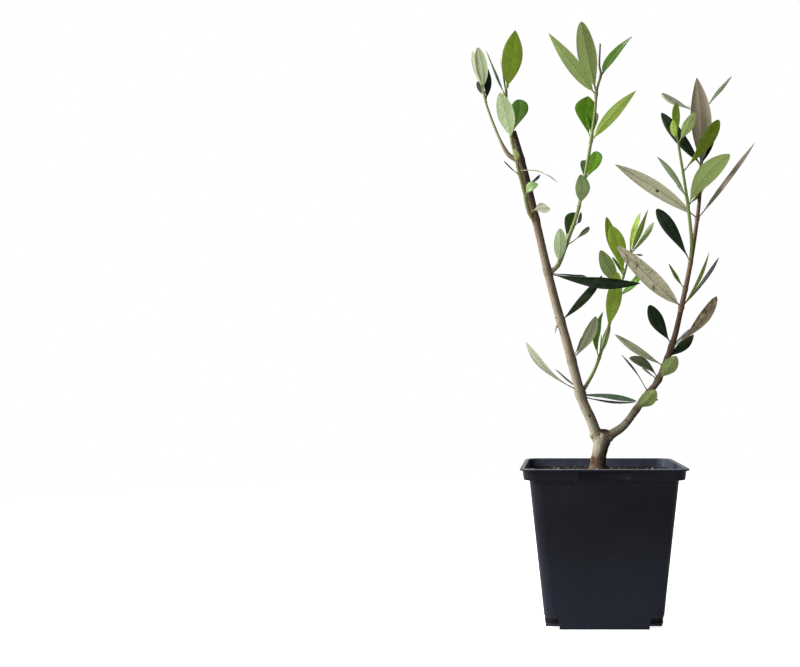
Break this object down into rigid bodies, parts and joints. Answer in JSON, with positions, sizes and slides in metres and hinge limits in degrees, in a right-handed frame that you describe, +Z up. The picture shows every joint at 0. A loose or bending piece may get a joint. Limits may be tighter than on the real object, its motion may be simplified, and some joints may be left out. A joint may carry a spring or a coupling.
{
  "type": "potted olive tree",
  "caption": "Young two-stemmed olive tree with narrow grey-green leaves, in a square black plastic nursery pot filled with soil.",
  "frame": {"origin": "middle of the pot's underside, on the surface that it stands on", "axes": "+Z up along the pot's height, -Y to the pot's front side, +X to the viewer's right"},
  "size_m": [0.2546, 0.1469, 0.4906],
  "materials": {
    "pot_plastic": "black moulded plastic with a soft sheen",
    "soil": "moist dark brown potting soil",
    "bark": "rough pale grey-brown bark",
    "young_bark": "smooth reddish-brown bark",
    "young_leaves": "fresh green leaves, paler underneath",
    "old_leaves": "dark grey-green leaves, beige underneath"
  },
  "bodies": {
    "root": {"pot": "pot_plastic", "soil": "soil", "trunk": "bark", "left_bough": "bark", "right_bough": "young_bark", "right_crown": "old_leaves", "outer_left_shoot": "young_leaves", "left_tip_shoot": "young_leaves", "middle_shoot": "young_leaves", "centre_shoot": "young_leaves", "green_shoot": "young_leaves", "left_bough_leaf_1": "young_leaves", "left_bough_leaf_2": "young_leaves", "left_bough_leaf_3": "young_leaves", "left_bough_leaf_4": "young_leaves", "left_bough_leaf_5": "young_leaves", "left_bough_leaf_6": "young_leaves", "right_bough_leaf_1": "old_leaves", "right_bough_leaf_2": "old_leaves", "right_bough_leaf_3": "old_leaves", "right_bough_leaf_4": "old_leaves", "right_bough_leaf_5": "old_leaves", "right_bough_leaf_6": "old_leaves", "right_bough_leaf_7": "old_leaves", "right_bough_leaf_8": "old_leaves", "right_bough_leaf_9": "old_leaves", "left_bough_leaf_1_back": "young_leaves", "left_bough_leaf_2_back": "young_leaves", "left_bough_leaf_3_back": "young_leaves", "left_bough_leaf_4_back": "young_leaves", "left_bough_leaf_5_back": "young_leaves", "right_bough_leaf_1_back": "old_leaves", "right_bough_leaf_4_back": "old_leaves", "right_bough_leaf_5_back": "old_leaves", "right_bough_leaf_6_back": "old_leaves", "right_bough_leaf_7_back": "old_leaves", "right_bough_leaf_8_back": "old_leaves", "right_bough_leaf_9_back": "old_leaves"}
  },
  "joints": []
}
